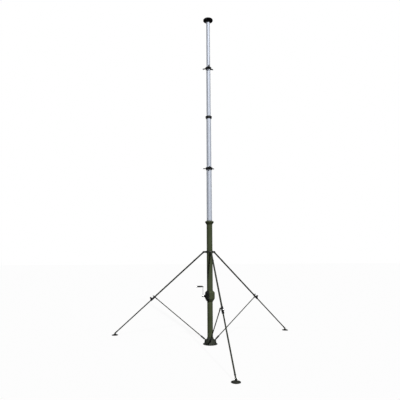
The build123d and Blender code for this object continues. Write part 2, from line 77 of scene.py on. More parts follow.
def selectFaces(piece, test):
    # picks faces in object mode by a test on the normal
    for face in piece.data.polygons:
        face.select = test(face.normal)
    for edge in piece.data.edges:
        edge.select = False
    for vertex in piece.data.vertices:
        vertex.select = False
    for face in piece.data.polygons:
        if face.select:
            for index in face.vertices:
                piece.data.vertices[index].select = True


# shares of a head's radius and height
boltShape = {
    "bore": 0.2, "wall": 0.8, "edge": 0.97, "chamfer": 0.16, "rise": 0.12, "crown": 0.3, "dome": 0.02,
}
screwShape = {"chamfer": 0.12, "rise": 0.1, "socketWall": 0.3, "socketDepth": 0.55}
boltSegments, screwSegments = 20, 18
facesUp = 0.9  # least height of a normal that counts as upward


def hexBolt(settings):
    # a hexagon head with a washer face and a rounded top, standing on z = 0
    radius, height = settings["radius"], settings["height"]
    washerRadius, washerHeight = settings["washerRadius"], settings["washerHeight"]
    bore = washerRadius * boltShape["bore"]
    washer = finishMesh(turnRing(
        [
            (bore, 0), (washerRadius, 0), (washerRadius, washerHeight * boltShape["wall"]),
            (washerRadius * boltShape["edge"], washerHeight), (bore, washerHeight), (bore, 0),
        ],
        boltSegments,
    ))
    bpy.ops.object.select_all(action="DESELECT")
    bpy.ops.mesh.primitive_cylinder_add(
        vertices=6, radius=radius, depth=height, location=(0, 0, washerHeight + height / 2)
    )
    bpy.ops.object.transform_apply(location=True, rotation=True, scale=True)
    head = bpy.context.object
    selectFaces(head, lambda normal: normal.z > facesUp)
    bpy.ops.object.mode_set(mode="EDIT")
    bpy.ops.mesh.select_mode(type="FACE")
    bpy.ops.mesh.inset(thickness=radius * boltShape["chamfer"])
    bpy.ops.transform.translate(value=(0, 0, height * boltShape["rise"]))
    bpy.ops.mesh.inset(thickness=radius * boltShape["crown"])
    bpy.ops.transform.translate(value=(0, 0, height * settings.get("dome", boltShape["dome"])))
    bpy.ops.object.mode_set(mode="OBJECT")
    return joinPieces([washer, head], smoothAngle=30)


def socketScrew(settings):
    # a round cap screw with a round socket, standing on z = 0
    radius, height = settings["radius"], settings["height"]
    bpy.ops.object.select_all(action="DESELECT")
    bpy.ops.mesh.primitive_cylinder_add(
        vertices=screwSegments, radius=radius, depth=height, location=(0, 0, height / 2)
    )
    bpy.ops.object.transform_apply(location=True, rotation=True, scale=True)
    screw = bpy.context.object
    selectFaces(screw, lambda normal: normal.z > facesUp)
    bpy.ops.object.mode_set(mode="EDIT")
    bpy.ops.mesh.select_mode(type="FACE")
    bpy.ops.mesh.inset(thickness=radius * screwShape["chamfer"])
    bpy.ops.transform.translate(value=(0, 0, height * screwShape["rise"]))
    bpy.ops.mesh.inset(thickness=radius * screwShape["socketWall"])
    down = -height * screwShape["socketDepth"]
    bpy.ops.mesh.extrude_region_move(TRANSFORM_OT_translate={"value": (0, 0, down)})
    bpy.ops.object.mode_set(mode="OBJECT")
    return finishMesh(screw, smoothAngle=30)


def joinPieces(parts, smoothAngle=35):
    bpy.ops.object.select_all(action="DESELECT")
    for part in parts:
        part.select_set(True)
    bpy.context.view_layer.objects.active = parts[0]
    if len(parts) > 1:
        bpy.ops.object.join()
    return finishMesh(bpy.context.object, smoothAngle)


def seat(origin, direction, turn=0.0):
    # the place of a piece that was modelled standing on z = 0, set down along a direction
    return (
        Matrix.Translation(Vector(origin))
        @ Vector(direction).to_track_quat("Z", "Y").to_matrix().to_4x4()
        @ Matrix.Rotation(turn, 4, "Z")
    )


def spread(master, seats):
    # copies of one modelled piece at several places, joined into one mesh
    copies = []
    for place in seats:
        copy = master.copy()
        copy.data = master.data.copy()
        bpy.context.scene.collection.objects.link(copy)
        copy.data.transform(place)
        copies.append(copy)
    bpy.data.objects.remove(master)
    return joinPieces(copies)


def done(piece, name, body, material):
    piece.name = name
    piece.data.name = name
    piece.data.materials.clear()
    piece.data.materials.append(material)
    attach(piece, body)


# Materials, all on Object coordinates

class Wire:
    def __init__(self, tree, node=None, socket=None):
        self.tree, self.node, self.socket = tree, node, socket

    def make(self, kind, settings=None, values=None):
        node = self.tree.nodes.new("ShaderNode" + kind)
        for key, value in (settings or {}).items():
            setattr(node, key, value)
        for key, value in (values or {}).items():
            target = node.inputs[key]
            if isinstance(value, Wire):
                self.tree.links.new(value.socket, target)
            else:
                target.default_value = value
        shown = [output for output in node.outputs if output.enabled]
        return Wire(self.tree, node, shown[0] if shown else None)

    def out(self, name):
        return Wire(self.tree, self.node, self.node.outputs[name])

    def maths(self, operation, first, second):
        return self.make("Math", {"operation": operation}, {0: first, 1: second})

    def __add__(self, other):
        return self.maths("ADD", self, other)

    def __rsub__(self, other):
        return self.maths("SUBTRACT", other, self)

    def __mul__(self, other):
        return self.maths("MULTIPLY", self, other)

    def clip(self, low, high):
        # 0 below low, 1 above high
        return self.make("MapRange", {"clamp": True}, {"Value": self, "From Min": low, "From Max": high})


def newMaterial(name):
    material = bpy.data.materials.new(name)
    material.use_nodes = True
    material.node_tree.nodes.clear()
    return material, Wire(material.node_tree)


def fractal(wire, place, scale, detail=3.0, rough=0.55, stretch=(1, 1, 1)):
    mapped = wire.make("Mapping", None, {"Vector": place, "Scale": stretch})
    return wire.make("TexNoise", None, {
        "Vector": mapped, "Scale": scale, "Detail": detail, "Roughness": rough,
    })


def mixColour(wire, factor, first, second):
    # input 0 is the share, 6 and 7 are the two colours, and output 2 is their mix
    mix = wire.make("Mix", {"data_type": "RGBA"})
    for key, value in ((0, factor), (6, first), (7, second)):
        if isinstance(value, Wire):
            wire.tree.links.new(value.socket, mix.node.inputs[key])
        else:
            mix.node.inputs[key].default_value = value if key == 0 else (*value, 1)
    return Wire(wire.tree, mix.node, mix.node.outputs[2])


def closeMaterial(wire, values):
    shader = wire.make("BsdfPrincipled", None, values)
    wire.make("OutputMaterial", None, {"Surface": shader})


def paintMaterial(name, look):
    # sprayed paint: orange peel, patchy fade, dust low down, fine scratches that show the primer
    material, wire = newMaterial(name)
    place = wire.make("TexCoord").out("Object")
    cloudy = fractal(wire, place, 3.1, 4)
    mottle = fractal(wire, place, 34.0, 3)
    peel = fractal(wire, place, 420.0, 2)
    streaks = fractal(wire, place, 26.0, 3, 0.6, (1, 1, 0.08))
    scuffs = fractal(wire, place, 55.0, 5, 0.72)
    fade = cloudy.clip(0.38, 0.68)
    base = mixColour(wire, fade, look["dark"], look["light"])
    base = mixColour(wire, mottle.clip(0.35, 0.75) * 0.35, base, look["light"])
    base = mixColour(wire, streaks.clip(0.55, 0.8) * look["streak"], base, look["dust"])
    height = wire.make("SeparateXYZ", None, {0: place}).out("Z")
    dust = (1 - height.clip(0.0, 0.35)) * mottle.clip(0.4, 0.62) * look["dustAmount"]
    base = mixColour(wire, dust, base, look["dust"])
    worn = scuffs.clip(look["wearFrom"], look["wearFrom"] + 0.03) * 0.8
    base = mixColour(wire, worn, base, look["primer"])
    roughness = cloudy.clip(0.3, 0.7) * 0.12 + look["roughness"] + dust * 0.2 + worn * 0.15
    bump = wire.make("Bump", None, {
        "Height": peel * 0.35 + mottle * 0.2 + (1 - worn) * 0.6,
        "Strength": look["bump"], "Distance": 0.0006,
    })
    closeMaterial(wire, {
        "Base Color": base, "Roughness": roughness, "Normal": bump,
        "Specular IOR Level": look["specular"],
    })
    return material


def drawnMetal(name, look):
    # drawn or turned metal: fine lines along Z or round it, faint stains, fingermarks
    material, wire = newMaterial(name)
    place = wire.make("TexCoord").out("Object")
    lines = fractal(wire, place, look["lineScale"], 4, 0.65, look["lineStretch"])
    broad = fractal(wire, place, 22.0, 3, 0.5, look["lineStretch"])
    stains = fractal(wire, place, 5.5, 4, 0.6)
    smears = fractal(wire, place, 17.0, 4, 0.62)
    base = mixColour(wire, broad.clip(0.35, 0.65), look["dark"], look["light"])
    base = mixColour(wire, lines.clip(0.42, 0.7) * 0.2, base, look["light"])
    base = mixColour(wire, stains.clip(0.52, 0.8) * look["stain"], base, look["stainColour"])
    roughness = lines * 0.06 + smears.clip(0.45, 0.7) * look["smear"] + look["roughness"]
    bump = wire.make("Bump", None, {
        "Height": lines, "Strength": look["bump"], "Distance": 0.0003,
    })
    closeMaterial(wire, {
        "Base Color": base, "Metallic": look["metallic"], "Roughness": roughness, "Normal": bump,
        "Specular IOR Level": look.get("specular", 0.5),
    })
    return material


def mouldedMaterial(name, look):
    # moulded plastic or rubber: fine grain, paler rubbed patches, dust in the grain
    material, wire = newMaterial(name)
    place = wire.make("TexCoord").out("Object")
    grain = wire.make("TexVoronoi", None, {"Vector": place, "Scale": look["grainScale"]})
    soft = fractal(wire, place, 16.0, 4)
    rubbed = fractal(wire, place, 48.0, 3)
    base = mixColour(wire, soft.clip(0.35, 0.7), look["dark"], look["light"])
    base = mixColour(wire, rubbed.clip(0.58, 0.78) * look["dustAmount"], base, look["dust"])
    roughness = rubbed.clip(0.3, 0.7) * 0.14 + look["roughness"]
    bump = wire.make("Bump", None, {
        "Height": grain.out("Distance") + soft * 0.3, "Strength": look["bump"], "Distance": 0.0005,
    })
    closeMaterial(wire, {
        "Base Color": base, "Roughness": roughness, "Normal": bump,
        "Specular IOR Level": look["specular"],
    })
    return material


olivePaint = paintMaterial("olivePaint", {
    "dark": (0.036, 0.045, 0.022), "light": (0.048, 0.059, 0.031), "dust": (0.11, 0.10, 0.07),
    "primer": (0.14, 0.13, 0.10), "streak": 0.08, "dustAmount": 0.2, "wearFrom": 0.71,
    "roughness": 0.50, "bump": 0.12, "specular": 0.09,
})
darkOlivePaint = paintMaterial("darkOlivePaint", {
    "dark": (0.017, 0.021, 0.015), "light": (0.025, 0.029, 0.021), "dust": (0.08, 0.074, 0.058),
    "primer": (0.12, 0.115, 0.10), "streak": 0.08, "dustAmount": 0.18, "wearFrom": 0.70,
    "roughness": 0.50, "bump": 0.12, "specular": 0.09,
})
blackCasting = paintMaterial("blackCasting", {
    "dark": (0.004, 0.005, 0.004), "light": (0.008, 0.010, 0.007), "dust": (0.05, 0.046, 0.035),
    "primer": (0.06, 0.06, 0.055), "streak": 0.05, "dustAmount": 0.25, "wearFrom": 0.70,
    "roughness": 0.5, "bump": 0.3, "specular": 0.12,
})
brightAluminium = drawnMetal("brightAluminium", {
    "dark": (0.350, 0.378, 0.435), "light": (0.374, 0.402, 0.458), "stain": 0.25,
    "stainColour": (0.30, 0.32, 0.37), "metallic": 0.42, "roughness": 0.56, "smear": 0.05,
    "lineScale": 240.0, "lineStretch": (1, 1, 0.02), "bump": 0.004, "specular": 0.3,
})
blackAlloy = drawnMetal("blackAlloy", {
    "dark": (0.004, 0.005, 0.006), "light": (0.009, 0.010, 0.011), "stain": 0.3,
    "stainColour": (0.018, 0.018, 0.019), "metallic": 0.0, "roughness": 0.42, "smear": 0.12,
    "lineScale": 200.0, "lineStretch": (0.05, 0.05, 1), "bump": 0.05, "specular": 0.16,
})
brightSteel = drawnMetal("brightSteel", {
    "dark": (0.55, 0.56, 0.57), "light": (0.74, 0.75, 0.76), "stain": 0.3,
    "stainColour": (0.38, 0.37, 0.34), "metallic": 0.95, "roughness": 0.28, "smear": 0.15,
    "lineScale": 150.0, "lineStretch": (1, 1, 1), "bump": 0.1,
})
darkSteel = drawnMetal("darkSteel", {
    "dark": (0.02, 0.02, 0.021), "light": (0.04, 0.04, 0.042), "stain": 0.3,
    "stainColour": (0.06, 0.055, 0.05), "metallic": 0.7, "roughness": 0.36, "smear": 0.1,
    "lineScale": 160.0, "lineStretch": (1, 1, 1), "bump": 0.1,
})
blackPlastic = mouldedMaterial("blackPlastic", {
    "dark": (0.005, 0.005, 0.005), "light": (0.010, 0.010, 0.010), "dust": (0.045, 0.043, 0.037),
    "dustAmount": 0.2, "grainScale": 900.0, "roughness": 0.48, "bump": 0.2, "specular": 0.15,
})
blackRubber = mouldedMaterial("blackRubber", {
    "dark": (0.007, 0.007, 0.007), "light": (0.015, 0.015, 0.014), "dust": (0.07, 0.065, 0.055),
    "dustAmount": 0.3, "grainScale": 700.0, "roughness": 0.66, "bump": 0.25, "specular": 0.15,
})

# which finish each CAD node takes
nodeFinish = {
    "base_plate": blackCasting, "boot": darkOlivePaint, "brace_pins": darkSteel,
    # the gearbox cover's black half covers the gearbox's left side, which lies in the leg's shadow and on the
    # shaded side: partly a black cover, partly painted shade
    "pedestal_tube": olivePaint, "gearbox_housing": olivePaint, "gearbox_cover": blackCasting,
    "base_tube": olivePaint, "base_tube_collar": olivePaint, "tripod_collar": darkOlivePaint,
    "leg_pins": darkSteel, "head_plate": blackAlloy, "crank_shaft": darkSteel,
    "crank_arm": brightSteel, "crank_grip": blackPlastic,
}
sideFinish = {
    "upper": darkOlivePaint, "clamp": blackAlloy, "knob": blackPlastic, "lower": darkOlivePaint,
    "foot": blackCasting, "slider": blackAlloy, "brace": darkOlivePaint,
}
for number in (1, 2, 3, 4):
    nodeFinish[f"section_{number}_tube"] = brightAluminium
    nodeFinish[f"section_{number}_collar"] = blackAlloy
    nodeFinish[f"section_{number}_guy_plate"] = blackAlloy
for side in ("front", "right", "left"):
    for part, finish in sideFinish.items():
        nodeFinish[f"leg_{side}_{part}"] = finish
for name, node in nodes.items():
    node.data.materials.clear()
    node.data.materials.append(nodeFinish[name])
print("materials on", len(nodes), "CAD nodes")


# Where things are, in metres

azimuths = {"front": -90, "right": 30, "left": 150}
between = (90, 210, 330)  # azimuths between the legs
diagonals = (45, 135, 225, 315)
mast = {
    "baseTop": 2.330, "pitch": 1.090, "sectionRadius": (0.052, 0.0475, 0.043, 0.0385),
    "collarWall": 0.014, "groove": 0.035, "platesOn": (1, 3), "plateDrop": 0.016,
    "plateThickness": 0.006, "earReach": 0.112,
}
stand = {
    "earRadius": 0.120, "earHeight": 1.722, "footRadius": 2.155, "footHeight": 0.040,
    "legSide": 0.012, "braceSide": -0.018, "braceFootRadius": 0.103, "braceFootHeight": 0.067,
    "jointStation": 1.428, "earHalf": 0.0215, "lugHalf": 0.0145,
}
legSpread = stand["footRadius"] - stand["earRadius"]
legDrop = stand["earHeight"] - stand["footHeight"]
lean, legLength = atan2(legSpread, legDrop), hypot(legSpread, legDrop)


def outward(azimuth):
    return Vector((cos(radians(azimuth)), sin(radians(azimuth)), 0))


def sideways(azimuth):
    return Vector((-sin(radians(azimuth)), cos(radians(azimuth)), 0))


def around(azimuth, radius, height, side=0.0):
    return outward(azimuth) * radius + sideways(azimuth) * side + up * height


def legAxis(azimuth):
    return outward(azimuth) * sin(lean) - up * cos(lean)


def legOuter(azimuth):
    return outward(azimuth) * cos(lean) + up * sin(lean)


def onLeg(azimuth, station, off=0.0, side=0.0):
    start = around(azimuth, stand["earRadius"], stand["earHeight"], stand["legSide"] + side)
    return start + legAxis(azimuth) * station + legOuter(azimuth) * off


def braceEnds(azimuth):
    foot = around(azimuth, stand["braceFootRadius"], stand["braceFootHeight"], stand["braceSide"])
    top = onLeg(azimuth, stand["jointStation"], 0, stand["braceSide"] - stand["legSide"])
    return foot, top


def sectionTop(number):
    return mast["baseTop"] + number * mast["pitch"]


def ringAt(profile, origin, direction=up, segments=48, smoothAngle=35):
    ring = finishMesh(turnRing(profile, segments), smoothAngle)
    ring.data.transform(seat(origin, direction))
    return ring


def tubeRing(inner, outer, low, high, edge):
    # the closed profile of a plain ring with eased outer edges
    return [
        (inner, low), (outer - edge, low), (outer, low + edge), (outer, high - edge),
        (outer - edge, high), (inner, high), (inner, low),
    ]


weldLook = {"swell": 0.16, "waver": 0.06, "wavers": 7, "segmentsPerRipple": 3, "sides": 8}


def weldBead(settings):
    # a run of weld round a tube, with the ripples that a hand leaves
    bpy.ops.object.select_all(action="DESELECT")
    bpy.ops.mesh.primitive_torus_add(
        major_radius=settings["radius"], minor_radius=settings["size"],
        major_segments=settings["ripples"] * weldLook["segmentsPerRipple"], minor_segments=weldLook["sides"],
    )
    bead = bpy.context.object
    for vertex in bead.data.vertices:
        turn = atan2(vertex.co.y, vertex.co.x)
        ripple = weldLook["swell"] * sin(turn * settings["ripples"])
        swell = 1 + ripple + weldLook["waver"] * sin(turn * weldLook["wavers"] + 1)
        middle = Vector((cos(turn), sin(turn), 0)) * settings["radius"]
        vertex.co = middle + (vertex.co - middle) * swell
    return finishMesh(bead, smoothAngle=60)


# Base plate and boot
baseScrews = {
    "radius": 0.0085, "height": 0.0062, "washerRadius": 0.0115, "washerHeight": 0.002,
    "circle": 0.116, "seat": 0.008, "twist": 1.7,
}
bootScrews = {"radius": 0.0055, "height": 0.005, "level": 0.104, "surface": 0.0645, "sunk": 0.001}
bootWeld = {"radius": 0.0890, "size": 0.0032, "ripples": 54, "level": 0.0085}
bootSeal = {"inner": 0.0525, "outer": 0.0585, "low": 0.1205, "high": 0.1255, "edge": 0.0015}


def makeFoot():
    screws = spread(hexBolt(baseScrews), [
        seat(
            around(azimuth, baseScrews["circle"], baseScrews["seat"]), up,
            radians(azimuth * baseScrews["twist"]),
        )
        for azimuth in range(0, 360, 60)
    ])
    done(screws, "basePlateScrews", "stand", darkSteel)
    reach = bootScrews["surface"] - bootScrews["sunk"]
    grubs = spread(socketScrew(bootScrews), [
        seat(around(azimuth, reach, bootScrews["level"]), outward(azimuth)) for azimuth in between
    ])
    done(grubs, "bootScrews", "stand", darkSteel)
    bead = weldBead(bootWeld)
    bead.data.transform(Matrix.Translation((0, 0, bootWeld["level"])))
    done(bead, "bootWeld", "stand", darkOlivePaint)
    seal = ringAt(tubeRing(*bootSeal.values()), (0, 0, 0))
    done(seal, "bootSeal", "stand", blackRubber)


# Pins of the stand
earNuts = {"radius": 0.0105, "height": 0.0055, "washerRadius": 0.0145, "washerHeight": 0.0018, "dome": 0.08}
lugNuts = {"radius": 0.0075, "height": 0.0048, "washerRadius": 0.0105, "washerHeight": 0.0014, "dome": 0.08}
nutTurn = 0.4  # radians, so that the flats aren't level


def pinSeats(radius, height, side, half):
    seats = []
    for azimuth in azimuths.values():
        for way in (1, -1):
            end = around(azimuth, radius, height, side + way * half)
            seats.append(seat(end, sideways(azimuth) * way, nutTurn))
    return seats


def makePinNuts():
    ears = spread(hexBolt(earNuts), pinSeats(
        stand["earRadius"], stand["earHeight"], stand["legSide"], stand["earHalf"]))
    done(ears, "legPinNuts", "stand", darkSteel)
    lugs = spread(hexBolt(lugNuts), pinSeats(
        stand["braceFootRadius"], stand["braceFootHeight"], stand["braceSide"], stand["lugHalf"]))
    done(lugs, "bracePinNuts", "stand", darkSteel)


# Gearbox
gearcase = {
    "middle": 0.882, "low": 0.785, "high": 0.979, "radius": 0.0935, "bowl": 0.050, "shoulder": 0.030,
    "lowNeck": 0.062, "highNeck": 0.066, "split": -0.032, "ribProud": 0.004, "ribSunk": 0.002,
    "ribWidth": 0.009, "ribEdge": 0.0012, "bossHalf": 0.011, "bossReach": 0.0915,
    "bossRises": (-0.034, 0.004, 0.042),  # above the middle
    "ribRises": (0.003, 0.021, 0.039, 0.050, 0.071, 0.101, 0.131, 0.153, 0.164, 0.173, 0.182, 0.191),
}
caseBoss = (
    (0.0005, -0.011), (0.0068, -0.011), (0.0075, -0.010), (0.0075, 0.010), (0.0068, 0.011), (0.0005, 0.011),
)
caseBolts = {"radius": 0.0058, "height": 0.0045, "washerRadius": 0.0075, "washerHeight": 0.0012, "turn": 0.5}
bearingCap = {
    "face": -0.0935,
    "profile": (
        (0.0175, -0.018), (0.031, -0.018), (0.031, 0.003), (0.0295, 0.0045), (0.0245, 0.0052),
        (0.0215, 0.0085), (0.0185, 0.0105), (0.0175, 0.0105), (0.0175, -0.018),
    ),
}
capScrews = {"radius": 0.0042, "height": 0.0042, "circle": 0.0272, "face": -0.0982}
shaftSeal = {"inner": 0.0103, "outer": 0.0155, "low": 0.0, "high": 0.0024, "edge": 0.0008}
shaftSealPlace = -0.1195
oilPlugs = {
    "radius": 0.0085, "height": 0.006, "washerRadius": 0.0115, "washerHeight": 0.0025,
    "azimuth": 62, "levels": (0.931, 0.852), "sunk": 0.0005, "turn": 0.3,
}
neckSeals = (
    {"inner": 0.0568, "outer": 0.0625, "low": 0.9785, "high": 0.9835, "edge": 0.0016},
    {"inner": 0.0528, "outer": 0.0585, "low": 0.7805, "high": 0.7855, "edge": 0.0016},
)


def caseRadius(height):
    # the outside of the gearbox at a height
    if height < gearcase["low"] + gearcase["bowl"]:
        share = (height - gearcase["low"]) / gearcase["bowl"]
        return gearcase["lowNeck"] + share * (gearcase["radius"] - gearcase["lowNeck"])
    if height > gearcase["high"] - gearcase["shoulder"]:
        share = (gearcase["high"] - height) / gearcase["shoulder"]
        return gearcase["highNeck"] + share * (gearcase["radius"] - gearcase["highNeck"])
    return gearcase["radius"]


def ribLine(way):
    # points down one side of the casting's split, just inside the outline
    line = []
    for rise in gearcase["ribRises"][::way]:
        height = gearcase["low"] + rise
        half = (caseRadius(height) ** 2 - gearcase["split"] ** 2) ** 0.5
        place = (gearcase["split"] - gearcase["ribWidth"] / 2, way * (half - gearcase["ribSunk"]), height)
        line.append(Vector(place))
    return line


def makeCaseRib():
    # a flange along the casting's split, from an open circle that is laid on the outline
    ribs = []
    for way in (1, -1):
        points = ribLine(way)
        bpy.ops.object.select_all(action="DESELECT")
        bpy.ops.mesh.primitive_circle_add(vertices=len(points) + 1, radius=gearcase["radius"])
        rib = bpy.context.object
        bpy.ops.object.mode_set(mode="EDIT")
        bpy.ops.mesh.select_mode(type="VERT")
        bpy.ops.mesh.select_all(action="DESELECT")
        bpy.ops.object.mode_set(mode="OBJECT")
        rib.data.vertices[len(points)].select = True
        bpy.ops.object.mode_set(mode="EDIT")
        bpy.ops.mesh.delete(type="VERT")
        bpy.ops.object.mode_set(mode="OBJECT")
        for vertex, point in zip(rib.data.vertices, points):
            vertex.co = point
        bpy.ops.object.mode_set(mode="EDIT")
        bpy.ops.mesh.select_all(action="SELECT")
        bpy.ops.mesh.extrude_region_move(TRANSFORM_OT_translate={"value": (gearcase["ribWidth"], 0, 0)})
        bpy.ops.mesh.select_all(action="SELECT")
        bpy.ops.mesh.normals_make_consistent(inside=False)
        bpy.ops.object.mode_set(mode="OBJECT")
        outer = sum(face.normal.y for face in rib.data.polygons) * way
        wall = rib.modifiers.new("wall", "SOLIDIFY")
        wall.thickness = gearcase["ribProud"] + gearcase["ribSunk"]
        wall.offset = 1 if outer > 0 else -1
        soft = rib.modifiers.new("soft", "BEVEL")
        soft.width = gearcase["ribEdge"]
        soft.segments = 2
        for modifier in ("wall", "soft"):
            bpy.ops.object.modifier_apply(modifier=modifier)
        ribs.append(finishMesh(rib))
    return ribs


def makeGearbox():
    east, west = Vector((1, 0, 0)), Vector((-1, 0, 0))
    parts = makeCaseRib()
    half = gearcase["bossHalf"]
    boltSeats = []
    for way in (1, -1):
        for rise in gearcase["bossRises"]:
            middle = Vector((gearcase["split"], way * gearcase["bossReach"], gearcase["middle"] + rise))
            parts.append(ringAt(caseBoss, middle, east, segments=20))
            boltSeats.append(seat(middle + west * half, west))
            boltSeats.append(seat(middle + east * half, east, caseBolts["turn"]))
    done(joinPieces(parts), "gearboxFlange", "stand", blackCasting)
    done(spread(hexBolt(caseBolts), boltSeats), "gearboxBolts", "stand", darkSteel)

    cap = ringAt(bearingCap["profile"], (bearingCap["face"], 0, gearcase["middle"]), west)
    done(cap, "crankBearingCap", "stand", blackCasting)
    screws = []
    for turn in diagonals:
        off = Vector((0, cos(radians(turn)), sin(radians(turn)))) * capScrews["circle"]
        screws.append(seat(Vector((capScrews["face"], 0, gearcase["middle"])) + off, west))
    done(spread(socketScrew(capScrews), screws), "crankCapScrews", "stand", darkSteel)
    seal = ringAt(tubeRing(*shaftSeal.values()), (shaftSealPlace, 0, gearcase["middle"]), west, segments=32)
    done(seal, "crankShaftSeal", "stand", blackRubber)

    azimuth = oilPlugs["azimuth"]
    plugs = spread(hexBolt(oilPlugs), [
        seat(around(azimuth, caseRadius(level) - oilPlugs["sunk"], level), outward(azimuth), oilPlugs["turn"])
        for level in oilPlugs["levels"]
    ])
    done(plugs, "oilPlugs", "stand", brightSteel)
    necks = [ringAt(tubeRing(*neck.values()), (0, 0, 0)) for neck in neckSeals]
    done(joinPieces(necks), "gearboxSeals", "stand", blackRubber)


# Base tube, its flared collar and the tripod collar
flareScrews = {"radius": 0.0058, "height": 0.0045, "circle": 0.0855, "level": 2.311}
collarScrews = {
    "radius": 0.0062, "height": 0.0048, "washerRadius": 0.0085, "washerHeight": 0.0012,
    "circle": 0.0625, "turn": 0.2,
}
tubeWelds = {"radius": 0.0578, "size": 0.0028, "ripples": 36, "levels": (2.2615, 1.7458, 1.6982)}
flare = (
    (0.0570, 2.2600), (0.0590, 2.2616), (0.0640, 2.2690), (0.0835, 2.2985), (0.0852, 2.3015),
    (0.0860, 2.3045), (0.0860, 2.3165), (0.0852, 2.3182), (0.0838, 2.3190), (0.0690, 2.3275),
    (0.0650, 2.3294), (0.0640, 2.3300), (0.0523, 2.3300), (0.0523, 2.3200), (0.0570, 2.3200),
    (0.0570, 2.2600),
)
tubeWiper = (
    (0.0526, 2.328), (0.0620, 2.328), (0.0620, 2.3315), (0.0605, 2.3330), (0.0550, 2.3330),
    (0.0526, 2.3352), (0.0526, 2.328),
)


def makeFlare():
    # the flared collar, its rim rolled over and drawn in to the wiper at the top
    collar = ringAt(flare, (0, 0, 0), segments=72, smoothAngle=30)
    done(collar, "flaredCollar", "stand", olivePaint)
    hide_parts("base_tube_collar")


def makeBaseTube():
    welds = []
    for level in tubeWelds["levels"]:
        bead = weldBead(tubeWelds)
        bead.data.transform(Matrix.Translation((0, 0, level)))
        welds.append(bead)
    done(joinPieces(welds, smoothAngle=60), "baseTubeWelds", "stand", olivePaint)
    circle, turn = collarScrews["circle"], collarScrews["turn"]
    screws = spread(hexBolt(collarScrews), [
        seat(around(azimuth, circle, stand["earHeight"]), outward(azimuth), turn) for azimuth in between
    ])
    done(screws, "tripodCollarBolts", "stand", darkSteel)
    screws = spread(socketScrew(flareScrews), [
        seat(around(azimuth, flareScrews["circle"], flareScrews["level"]), outward(azimuth))
        for azimuth in range(30, 360, 60)
    ])
    done(screws, "flareScrews", "stand", darkSteel)
    wiper = ringAt(tubeWiper, (0, 0, 0))
    done(wiper, "baseTubeWiper", "stand", blackRubber)


# Collars and guy plates of the sections
ringScrews = {
    "radius": 0.0040, "height": 0.0034, "sunk": 0.0006, "drop": 0.0255, "dropUnderPlate": 0.0245,
}
gripRing = {"sunk": 0.0014, "thickness": 0.0021}
lockBand = {"proud": 0.0065, "sunk": 0.0008, "drop": 0.0125, "height": 0.016, "edge": 0.003}
plateClip = {"proud": 0.0036, "sunk": 0.0008, "height": 0.0022, "edge": 0.0007}
earBoss = {"inner": 0.0070, "outer": 0.0162, "low": -0.0075, "high": 0.0075, "edge": 0.0016}
eyelet = (
    (0.0063, -0.0082), (0.0095, -0.0082), (0.0100, -0.0074), (0.0070, -0.0066), (0.0070, 0.0066),
    (0.0100, 0.0074), (0.0095, 0.0082), (0.0063, 0.0082), (0.0063, -0.0082),
)
wiperGap = 0.0006  # between a wiper and the section that slides in it
wiperLip = (  # out from its bore and up from the collar's top
    (0, -0.002), (0.0075, -0.002), (0.0075, 0.0012), (0.0062, 0.0024), (0.002, 0.0024), (0, 0.0044),
    (0, -0.002),
)


def makeWiper(number, top):
    bore = mast["sectionRadius"][number] + wiperGap
    wiper = ringAt([(bore + out, top + rise) for out, rise in wiperLip], (0, 0, 0))
    done(wiper, f"section{number}Wiper", f"section_{number}", blackRubber)


def makeGuyEars(number, rim, level):
    # the clip that holds the plate, and a boss and an eyelet at each ear
    body = f"section_{number}"
    low = level + mast["plateThickness"]
    high = low + plateClip["height"]
    clip = tubeRing(rim - plateClip["sunk"], rim + plateClip["proud"], low, high, plateClip["edge"])
    done(ringAt(clip, (0, 0, 0)), f"section{number}PlateClip", body, darkSteel)
    eyelets, bosses = [], []
    for azimuth in azimuths.values():
        hole = around(azimuth, mast["earReach"], level + mast["plateThickness"] / 2)
        eyelets.append(ringAt(eyelet, hole, segments=28))
        bosses.append(ringAt(tubeRing(*earBoss.values()), hole, segments=36))
    done(joinPieces(eyelets), f"section{number}Eyelets", body, brightSteel)
    done(joinPieces(bosses), f"section{number}EarBosses", body, blackAlloy)


def makeCollar(number):
    body = f"section_{number}"
    top = sectionTop(number)
    rim = mast["sectionRadius"][number - 1] + mast["collarWall"]
    hasPlate = number in mast["platesOn"]
    makeWiper(number, top)
    bpy.ops.object.select_all(action="DESELECT")
    bpy.ops.mesh.primitive_torus_add(
        major_radius=rim - gripRing["sunk"], minor_radius=gripRing["thickness"],
        major_segments=64, minor_segments=10, location=(0, 0, top - mast["groove"]),
    )
    bpy.ops.object.transform_apply(location=True, rotation=True, scale=True)
    grip = finishMesh(bpy.context.object, smoothAngle=60)
    done(grip, f"section{number}GripRing", body, blackRubber)
    drop = ringScrews["dropUnderPlate"] if hasPlate else ringScrews["drop"]
    screws = spread(socketScrew(ringScrews), [
        seat(around(azimuth, rim - ringScrews["sunk"], top - drop), outward(azimuth)) for azimuth in between
    ])
    done(screws, f"section{number}CollarScrews", body, darkSteel)
    if hasPlate:
        makeGuyEars(number, rim, top - mast["plateDrop"])
        return
    middle, half = top - lockBand["drop"], lockBand["height"] / 2
    inner, outer = rim - lockBand["sunk"], rim + lockBand["proud"]
    band = tubeRing(inner, outer, middle - half, middle + half, lockBand["edge"])
    done(ringAt(band, (0, 0, 0), segments=64), f"section{number}LockBand", body, blackAlloy)


# Head plate
headScrews = {
    "radius": 0.0052, "height": 0.0042, "circle": 0.0474, "level": 6.666, "azimuths": (45, 165, 285),
}
headWeld = {"radius": 0.0392, "size": 0.0022, "ripples": 30, "level": 6.6478}
headRib = {
    "inner": 0.046, "outer": 0.094, "height": 0.030, "outerHeight": 0.006, "sunk": 0.0004,
    "thickness": 0.005, "edge": 0.0008, "level": 6.690,
}


